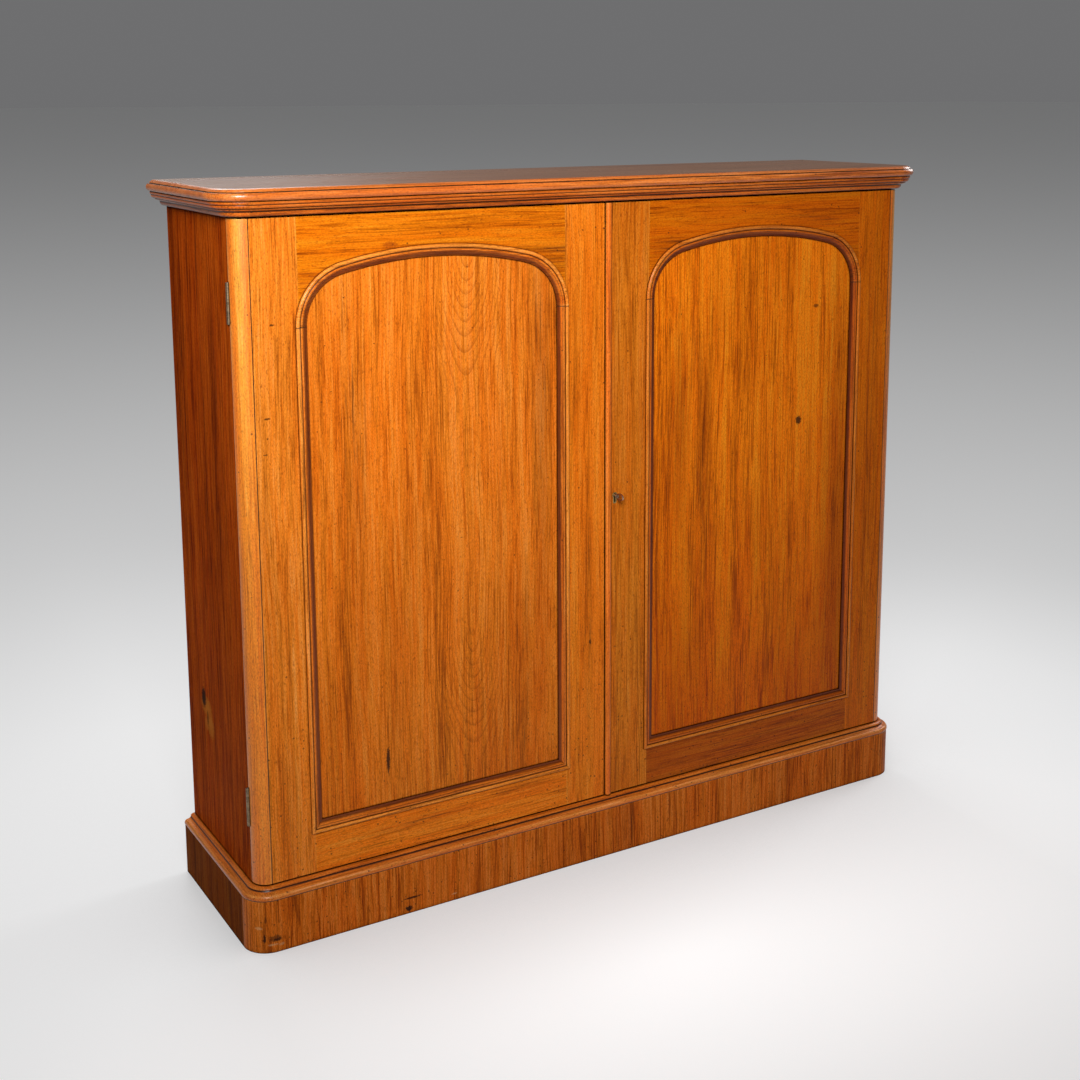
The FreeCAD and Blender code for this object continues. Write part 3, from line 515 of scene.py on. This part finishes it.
# Butt hinges: two a side, of brass gone grey-brown, each leaf let in flush and held by three steel screws.
# Only the knuckle and its steel pin show outside, at the side of the cabinet.

hinge_brass = aged_metal("hinge_brass", (0.33, 0.24, 0.145), (0.15, 0.105, 0.065), (0.05, 0.03, 0.02), 0.5)
steel = aged_metal("steel", (0.46, 0.44, 0.41), (0.20, 0.175, 0.155), (0.085, 0.040, 0.020), 0.45)
for node in ("hinge_carcass_leaves", "left_hinge_door_leaves", "right_hinge_door_leaves"):
    dress(node, hinge_brass)
dress("hinge_pins", steel)

screw_sides = 24
screw_radius = 0.0028
screw_depth = 0.0010
screw_proud = 0.0002
slot_half_width = 0.0004
slot_reach = 0.8 * screw_radius
slot_depth = 0.6 * screw_depth
bpy.ops.object.select_all(action="DESELECT")
bpy.ops.mesh.primitive_cylinder_add(vertices=screw_sides, radius=screw_radius, depth=screw_depth,
                                    location=(0.0, 0.0, screw_proud - screw_depth / 2))
screw = bpy.context.object
bpy.ops.object.transform_apply(location=True)
bpy.ops.object.mode_set(mode="EDIT")
across_slot = (1.0, 0.0, 0.0)
along_slot = (0.0, 1.0, 0.0)
slot_cuts = (((slot_half_width, 0.0, 0.0), across_slot), ((-slot_half_width, 0.0, 0.0), across_slot),
             ((0.0, slot_reach, 0.0), along_slot), ((0.0, -slot_reach, 0.0), along_slot))
for cut, normal in slot_cuts:
    bpy.ops.mesh.select_all(action="SELECT")
    bpy.ops.mesh.bisect(plane_co=cut, plane_no=normal)


def in_slot(face):
    centre = face.calc_center_median()
    return faces_up(face) and abs(centre.x) < slot_half_width / 2 and abs(centre.y) < slot_reach / 2


pick_faces(screw, in_slot)
bpy.ops.mesh.extrude_region_move(TRANSFORM_OT_translate={"value": (0.0, 0.0, -slot_depth)})
bpy.ops.object.mode_set(mode="OBJECT")
bpy.ops.object.shade_smooth_by_angle(angle=math.radians(35))

facing_front = math.radians(90)
leaf_half_height = 0.032
leaves_low, leaves_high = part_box("hinge_carcass_leaves")
leaf_middles = (leaves_low[2] + leaf_half_height, leaves_high[2] - leaf_half_height)
leaf_edge_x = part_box("right_hinge_door_leaves")[0][0]
screw_steps = (-0.022, 0.0, 0.022)
screw_insets = (0.0050, 0.0075, 0.0050)
slot_turns = (0.3, 1.2, -0.5)
carcass_face_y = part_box("left_side")[0][1]
door_back_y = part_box("left_hanging_stile")[1][1]


def hinge_screws(side, face_y, facing):
    settings = []
    for middle in leaf_middles:
        for step, inset, turn in zip(screw_steps, screw_insets, slot_turns):
            place = (side * (leaf_edge_x + inset), face_y, middle + step)
            settings.append((place, (facing, turn, 0.0)))
    return settings


carcass_screws = hinge_screws(-1, carcass_face_y, facing_front)
carcass_screws += hinge_screws(1, carcass_face_y, facing_front)
set_copies("hinge_carcass_screws", screw, carcass_screws, steel, "carcass")
for side, body in ((-1, "left_door"), (1, "right_door")):
    door_screws = hinge_screws(side, door_back_y, facing_back)
    set_copies(body + "_hinge_screws", screw, door_screws, steel, body)


# Door frames: mahogany stiles and rails, tenoned, glued and flush, the top rail cut to an arch below.
# A quarter-round strip glued to each hanging stile turns the cabinet's corner, its glue line dark with age.

door_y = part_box("left_hanging_stile")[0][1]
glue_line_x = 0.636
strip_highlight_x = 0.650


def glue_line(tree, colour, place):
    across = number(tree, "ABSOLUTE", axis_of(tree, place, "X"))
    line = fade(tree, away_from(tree, across, glue_line_x), 0.0010, 0.0005)
    return tint(tree, "MIX", line, colour, (0.020, 0.006, 0.003))


def painted_strip_highlight(tree, colour, place):
    across = number(tree, "ABSOLUTE", axis_of(tree, place, "X"))
    # Painted highlight: a pale band runs down the strip's crown, strongest near the top.
    bright = number(tree, "MULTIPLY", fade(tree, away_from(tree, across, strip_highlight_x), 0.009, 0.0),
                    fade(tree, axis_of(tree, place, "Z"), 0.5, 1.12, to_low=0.05))
    colour = tint(tree, "MULTIPLY", bright, colour, (1.0, 1.8, 4.6))
    return glue_line(tree, colour, place)


stile_wood = {"left_hanging_stile": (0.90, 0.252, 0.018), "left_meeting_stile": (0.87, 0.222, 0.009),
              "right_meeting_stile": (0.74, 0.202, 0.010), "right_hanging_stile": (0.70, 0.154, 0.002)}
stile_ticks = [((-0.604, door_y, 1.012), (0.005, 0.01, 0.0022), BRUISE_AND_SHADE, 0.8),
               ((-0.617, door_y, 0.868), (0.006, 0.01, 0.0020), BRUISE_AND_SHADE, 0.8),
               ((-0.621, door_y, 0.812), (0.005, 0.01, 0.0018), BRUISE_AND_SHADE, 0.6),
               ((-0.036, door_y, 0.403), (0.003, 0.01, 0.0050), BRUISE_AND_SHADE, 0.8)]
stile_bundles = (((0.078, door_y, 0.90), (0.016, 1.0, 0.35)), ((0.600, door_y, 0.80), (0.022, 1.0, 0.45)),
                 ((-0.040, door_y, 0.45), (0.014, 1.0, 0.25)), ((-0.604, door_y, 0.22), (0.02, 1.0, 0.2)))
for index, (node, base) in enumerate(stile_wood.items()):
    dress(node, mahogany(node + "_wood", base, (0.7 * index - 1.0, 0.9, 0.0), UPRIGHT, contrast=0.95,
                         rings=0.15, streaks=0.5, marks=stile_ticks, bundles=stile_bundles, stain=glue_line))
strip_wood = (0.94, 0.244, 0.009)
for index, node in enumerate(("left_corner_strip", "right_corner_strip")):
    dress(node, mahogany(node + "_wood", strip_wood, (1.4 * index, 0.7, 0.0), UPRIGHT, contrast=0.8,
                         streaks=0.15, rings=0.05, gloss=0.3, shine=0.5, coat=0.1, stain=painted_strip_highlight))
rail_wood = {"left_top_rail": (0.76, 0.195, 0.003), "left_bottom_rail": (0.95, 0.232, 0.008),
             "right_top_rail": (0.64, 0.135, 0.001), "right_bottom_rail": (0.52, 0.108, 0.002)}
red_patch = (0.30, 0.05, 0.003)
rail_marks = [((-0.405, door_y, 1.124), (0.016, 0.01, 0.006), red_patch, 0.6)]
rail_bundles = (((0.135, door_y, 1.095), (0.06, 1.0, 0.020)), ((0.450, door_y, 1.125), (0.10, 1.0, 0.016)),
                ((-0.380, door_y, 0.150), (0.13, 1.0, 0.012)), ((-0.170, door_y, 0.165), (0.08, 1.0, 0.008)),
                ((-0.545, door_y, 1.080), (0.05, 1.0, 0.012)), ((-0.125, door_y, 1.100), (0.04, 1.0, 0.018)))
for index, (node, base) in enumerate(rail_wood.items()):
    dress(node, mahogany(node + "_wood", base, (0.0, 0.9, 0.7 * index), ALONG_X, contrast=1.0, rings=0.12,
                         streaks=0.75, marks=rail_marks, bundles=rail_bundles))


# Door panels: each a single wide flat board, loose in its groove so that it can shrink.
# The left is cut near the heart, so its rings close into pointed loops; the right is straight in the grain.

def darker_bands_and_painted_falloff(bands, foot):
    """Stain for a panel: broad soft bands of darker wood, and painted shade that darkens it towards the
    foot.
    """
    def stain(tree, colour, place):
        # Painted shade: the panel darkens towards the foot, where the light falls off.
        colour = tint(tree, "MULTIPLY", fade(tree, axis_of(tree, place, "Z"), 0.8, 0.22), colour, foot)
        for centre, radii, strength in bands:
            band = fade(tree, within(tree, place, centre, radii), 1.0, 0.2, to_high=strength)
            colour = tint(tree, "MULTIPLY", band, colour, (0.60, 0.50, 0.35))
        return colour
    return stain


panel_y = -0.137
left_panel_wood = (0.87, 0.222, 0.012)
left_painted_falloff = (0.92, 0.90, 0.8)
left_bands = [((-0.128, panel_y, 0.72), (0.022, 1.0, 0.50), 0.5),
              ((-0.470, panel_y, 0.62), (0.030, 1.0, 0.35), 0.25)]
left_bundles = (((-0.476, panel_y, 0.85), (0.035, 1.0, 0.30)), ((-0.131, panel_y, 0.90), (0.025, 1.0, 0.28)))
crack = ((-0.426, panel_y, 0.270), (0.004, 0.01, 0.026), BRUISE_AND_SHADE, 0.9)
dress("left_panel", mahogany(
    "left_panel_wood", left_panel_wood, (-0.266, -0.1005, 0.0), UPRIGHT, contrast=1.1, rings=0.5,
    streaks=0.68, ring_gap=0.0062, swell=(0.031, 0.65, 1.025), bundles=left_bundles, marks=[crack],
    stain=darker_bands_and_painted_falloff(left_bands, left_painted_falloff)))
right_panel_wood = (0.95, 0.228, 0.004)
right_painted_falloff = (0.79, 0.63, 0.2)
right_bands = [((0.158, panel_y, 0.78), (0.024, 1.0, 0.24), 0.8),
               ((0.211, panel_y, 0.76), (0.022, 1.0, 0.20), 0.85),
               ((0.232, panel_y, 0.95), (0.020, 1.0, 0.12), 0.3),
               ((0.528, panel_y, 0.55), (0.055, 1.0, 0.70), 0.8)]
right_bundles = (((0.20, panel_y, 0.60), (0.05, 1.0, 0.40)), ((0.14, panel_y, 0.80), (0.03, 1.0, 0.25)))
knots = [((0.429, panel_y, 0.751), (0.008, 0.01, 0.009), BRUISE_AND_SHADE, 0.9),
         ((0.465, panel_y, 0.965), (0.008, 0.01, 0.004), BRUISE_AND_SHADE, 0.7)]
dress("right_panel", mahogany(
    "right_panel_wood", right_panel_wood, (0.9, 0.5, 0.6), UPRIGHT, contrast=1.25, rings=0.15, streaks=0.4,
    bundles=right_bundles, marks=knots, stain=darker_bands_and_painted_falloff(right_bands, right_painted_falloff)))


# Bolection mouldings: four lengths a door, butted where the arch springs and mitred at the lower corners.
# They are glued over the joint of frame and panel, a bead outside with a painted highlight on its crest, and
# hollowed members inside, darker in stain and in painted shade.

bead_crest_y = -0.1466
bead_crown_y = -0.1450
bead_foot_y = -0.1438
quirk_y = -0.1437
hollow_top_y = -0.1414
hollow_low_y = -0.1395
spring_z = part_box("left_moulding_hinge_side")[1][2]


def bead_highlight_and_member_shade(tree, colour, place):
    depth = axis_of(tree, place, "Y")
    # Painted highlight: the bead's crest is lightened a little.
    crest = fade(tree, depth, bead_crown_y, bead_crest_y)
    colour = tint(tree, "MULTIPLY", crest, colour, (1.03, 1.10, 1.2))
    # Darker stain and painted shade: the bead's foot and the hollow behind it are darkened.
    foot = fade(tree, depth, bead_crown_y, bead_foot_y)
    colour = tint(tree, "MULTIPLY", foot, colour, (0.86, 0.74, 0.55))
    # Painted shade: a thin dark line lies in the quirk beside the bead.
    quirk_shade = fade(tree, away_from(tree, depth, quirk_y), 0.0003, 0.0001, to_high=0.7)
    colour = tint(tree, "MIX", quirk_shade, colour, BRUISE_AND_SHADE)
    hollow = fade(tree, depth, hollow_top_y, hollow_low_y)
    colour = tint(tree, "MULTIPLY", hollow, colour, (0.26, 0.18, 0.12))
    from_spring = away_from(tree, axis_of(tree, place, "Z"), spring_z)
    butt_joint = fade(tree, from_spring, 0.0012, 0.0005, to_high=0.8)
    return tint(tree, "MIX", butt_joint, colour, BRUISE_AND_SHADE)


bolection_wood = {"left": (0.90, 0.245, 0.018), "right": (0.70, 0.165, 0.008)}
lengths = (("arch", ALONG_X), ("bottom", ALONG_X), ("hinge_side", UPRIGHT), ("meeting_side", UPRIGHT))
for index, (side, base) in enumerate(bolection_wood.items()):
    for part, lean in lengths:
        node = side + "_moulding_" + part
        dress(node, mahogany(node + "_wood", base, (0.9 * index, 0.9, 0.2), lean, rings=0.1, streaks=0.4,
                             shine=0.2, coat=0.04, stain=bead_highlight_and_member_shade))


# Astragal: a half-round bead of mahogany, planed to shape with the grain running its whole height.
# It is glued flush along the edge of the right door, beside the gap, where hands rub it bright.

astragal_wood = (0.86, 0.20, 0.012)
dress("astragal", mahogany("astragal_wood", astragal_wood, (0.4, 0.9, 0.2), UPRIGHT, streaks=0.3, rings=0.1,
                           shine=0.22, coat=0.08))


# Lock: a brass case let into the back of the right door and held by four screws, with a steel bolt and key.
# A thin brass lining guards the keyhole, and a brass plate in the left door's edge takes the bolt.

for node in ("lock_case", "escutcheon", "strike_plate"):
    dress(node, brass)
dress("lock_bolt", steel)
key_steel = aged_metal("key_steel", (0.62, 0.44, 0.31), (0.22, 0.13, 0.085), (0.05, 0.022, 0.012), 0.42)
dress("key", key_steel)

case_low, case_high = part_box("lock_case")
case_inset_x = 0.0053
case_inset_z = 0.0052
case_screws = []
for across, turn in ((case_low[0] + case_inset_x, 0.4), (case_high[0] - case_inset_x, 1.5)):
    for height, more in ((case_low[2] + case_inset_z, 0.0), (case_high[2] - case_inset_z, 0.8)):
        case_screws.append(((across, door_back_y, height), (facing_back, turn + more, 0.0)))
set_copies("lock_case_screws", screw, case_screws, steel, "right_door")

facing_right = math.radians(90)


def edge_plate_screws(plate, inset, turns):
    """A screw near each end of what is let into the left door's edge, halfway across it."""
    low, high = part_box(plate)
    middle_y = (low[1] + high[1]) / 2
    return [((high[0], middle_y, height), (turn, facing_right, 0.0))
            for height, turn in zip((low[2] + inset, high[2] - inset), turns)]


strike_inset = 0.0067
strike_screws = edge_plate_screws("strike_plate", strike_inset, (0.6, 1.4))
set_copies("strike_plate_screws", screw, strike_screws, steel, "left_door")


# Flush bolts: two steel rods that slide in grooves in the left door's edge and hold it at top and bottom.
# Each moves by a stud in the slot of a brass plate, which a screw fixes beyond the end of the rod.

dress("flush_bolt_plates", brass)
for node in ("flush_bolt_top", "flush_bolt_bottom"):
    dress(node, steel)
flush_plate_inset = 0.1203
plate_screws = edge_plate_screws("flush_bolt_plates", flush_plate_inset, (0.9, 0.2))
set_copies("flush_plate_screws", screw, plate_screws, steel, "left_door")
bpy.data.objects.remove(screw)


# Studio: a sheet of pale paper with a painted glow in pools of light that fades into grey distance; it keeps
# the cabinet's cast shadow, and a painted shadow dims the glow near the cabinet.
# One soft light comes from the upper left, with a weak one behind and another on the right.
# The camera stands left of the middle, a little above the top, as in the photograph.

def in_view(tree):
    """One for a ray that shows the background, straight to the camera or in polish, metal or glass."""
    ray = add_node(tree, "LightPath", {})
    seen = number(tree, "MAXIMUM", ray.outputs["Is Camera Ray"], ray.outputs["Is Glossy Ray"])
    return number(tree, "MAXIMUM", seen, ray.outputs["Is Transmission Ray"])


floor_size = 400.0
bpy.ops.object.select_all(action="DESELECT")
bpy.ops.mesh.primitive_plane_add(size=floor_size, location=(0.0, 0.0, 0.0))
floor = bpy.context.object
floor.name = "floor"
paper, paper_tree, paper_shader = new_material("floor_paper")
paper_shader.inputs["Base Color"].default_value = (0.415, 0.42, 0.425, 1.0)
paper_shader.inputs["Roughness"].default_value = 0.9
paper_shader.inputs["Specular IOR Level"].default_value = 0.1
paper_seen = in_view(paper_tree)
paper_place = add_node(paper_tree, "TexCoord", {}).outputs["Object"]
# Painted light: the paper glows for camera and reflected rays, brightest in pools around the cabinet.
painted_pools_of_light = (((0.0, 0.0, 0.0), (5.0, 5.0, 5.0), 0.46), ((-0.1, -0.5, 0.0), (0.6, 0.3, 1.0), 0.34))
painted_glow = 0.11
for middle, reach, strength in painted_pools_of_light:
    away = within(paper_tree, paper_place, middle, reach)
    falling = number(paper_tree, "ADD", number(paper_tree, "POWER", away, 1.5), 1.0)
    painted_glow = number(paper_tree, "ADD", number(paper_tree, "DIVIDE", strength, falling), painted_glow)
# Painted shadow: the glow is dimmed where the cabinet closes off the space near it.
painted_shadow = fade(paper_tree, openness(paper_tree, reach=0.7, samples=8), 0.5, 1.0, to_low=0.62)
painted_glow = number(paper_tree, "MULTIPLY", painted_glow, painted_shadow)
painted_glow = number(paper_tree, "MULTIPLY", paper_seen, painted_glow)
paper_shader.inputs["Emission Color"].default_value = (1.0, 1.0, 1.0, 1.0)
paper_tree.links.new(painted_glow, paper_shader.inputs["Emission Strength"])
floor.data.materials.append(paper)

world = bpy.data.worlds.new("studio")
bpy.context.scene.world = world
world.use_nodes = True
backdrop = world.node_tree.nodes["Background"]
backdrop.inputs["Color"].default_value = (0.11, 0.11, 0.112, 1.0)
strength_in_view = fade(world.node_tree, in_view(world.node_tree), 0.0, 1.0, to_low=1.0, to_high=1.43)
world.node_tree.links.new(strength_in_view, backdrop.inputs["Strength"])


def soft_box(name, place, aim, width, height, power, spread):
    lamp = bpy.data.lights.new(name, "AREA")
    lamp.shape = "RECTANGLE"
    lamp.size = width
    lamp.size_y = height
    lamp.energy = power
    lamp.spread = math.radians(spread)
    lamp_object = bpy.data.objects.new(name, lamp)
    bpy.context.scene.collection.objects.link(lamp_object)
    lamp_object.location = place
    lamp_object.rotation_euler = (Vector(aim) - Vector(place)).to_track_quat("-Z", "Y").to_euler()
    lamp_object.visible_camera = False


soft_box("key_light", place=(-1.5, -2.25, 2.1), aim=(-0.38, -0.14, 1.28),
         width=1.1, height=0.8, power=16.8, spread=67.0)
soft_box("back_light", place=(0.2, 2.8, 3.0), aim=(0.0, 0.17, 0.55),
         width=1.2, height=1.2, power=6.0, spread=60.0)
soft_box("right_light", place=(2.8, 0.5, 1.9), aim=(0.66, 0.0, 0.6),
         width=1.0, height=1.0, power=4.0, spread=60.0)

photo_side_px = 1080
focal_length_px = 1565.2
optical_centre_x_px = 561.1
optical_centre_y_px = 370.0
camera_place = (-1.4307, -2.3827, 1.3539)
camera_dip = 9.962
camera_turn = -30.832
camera_roll = -0.19
sensor_width = 36.0
lens_data = bpy.data.cameras.new("camera")
camera = bpy.data.objects.new("camera", lens_data)
bpy.context.scene.collection.objects.link(camera)
bpy.context.scene.camera = camera
camera.location = camera_place
camera.rotation_euler = (math.radians(90 - camera_dip), 0.0, math.radians(camera_turn))
camera.rotation_euler.rotate_axis("Z", math.radians(camera_roll))
lens_data.sensor_width = sensor_width
lens_data.lens = sensor_width * focal_length_px / photo_side_px
lens_data.shift_x = (photo_side_px / 2 - optical_centre_x_px) / photo_side_px
lens_data.shift_y = (optical_centre_y_px - photo_side_px / 2) / photo_side_px
bpy.context.scene.view_settings.view_transform = "Standard"
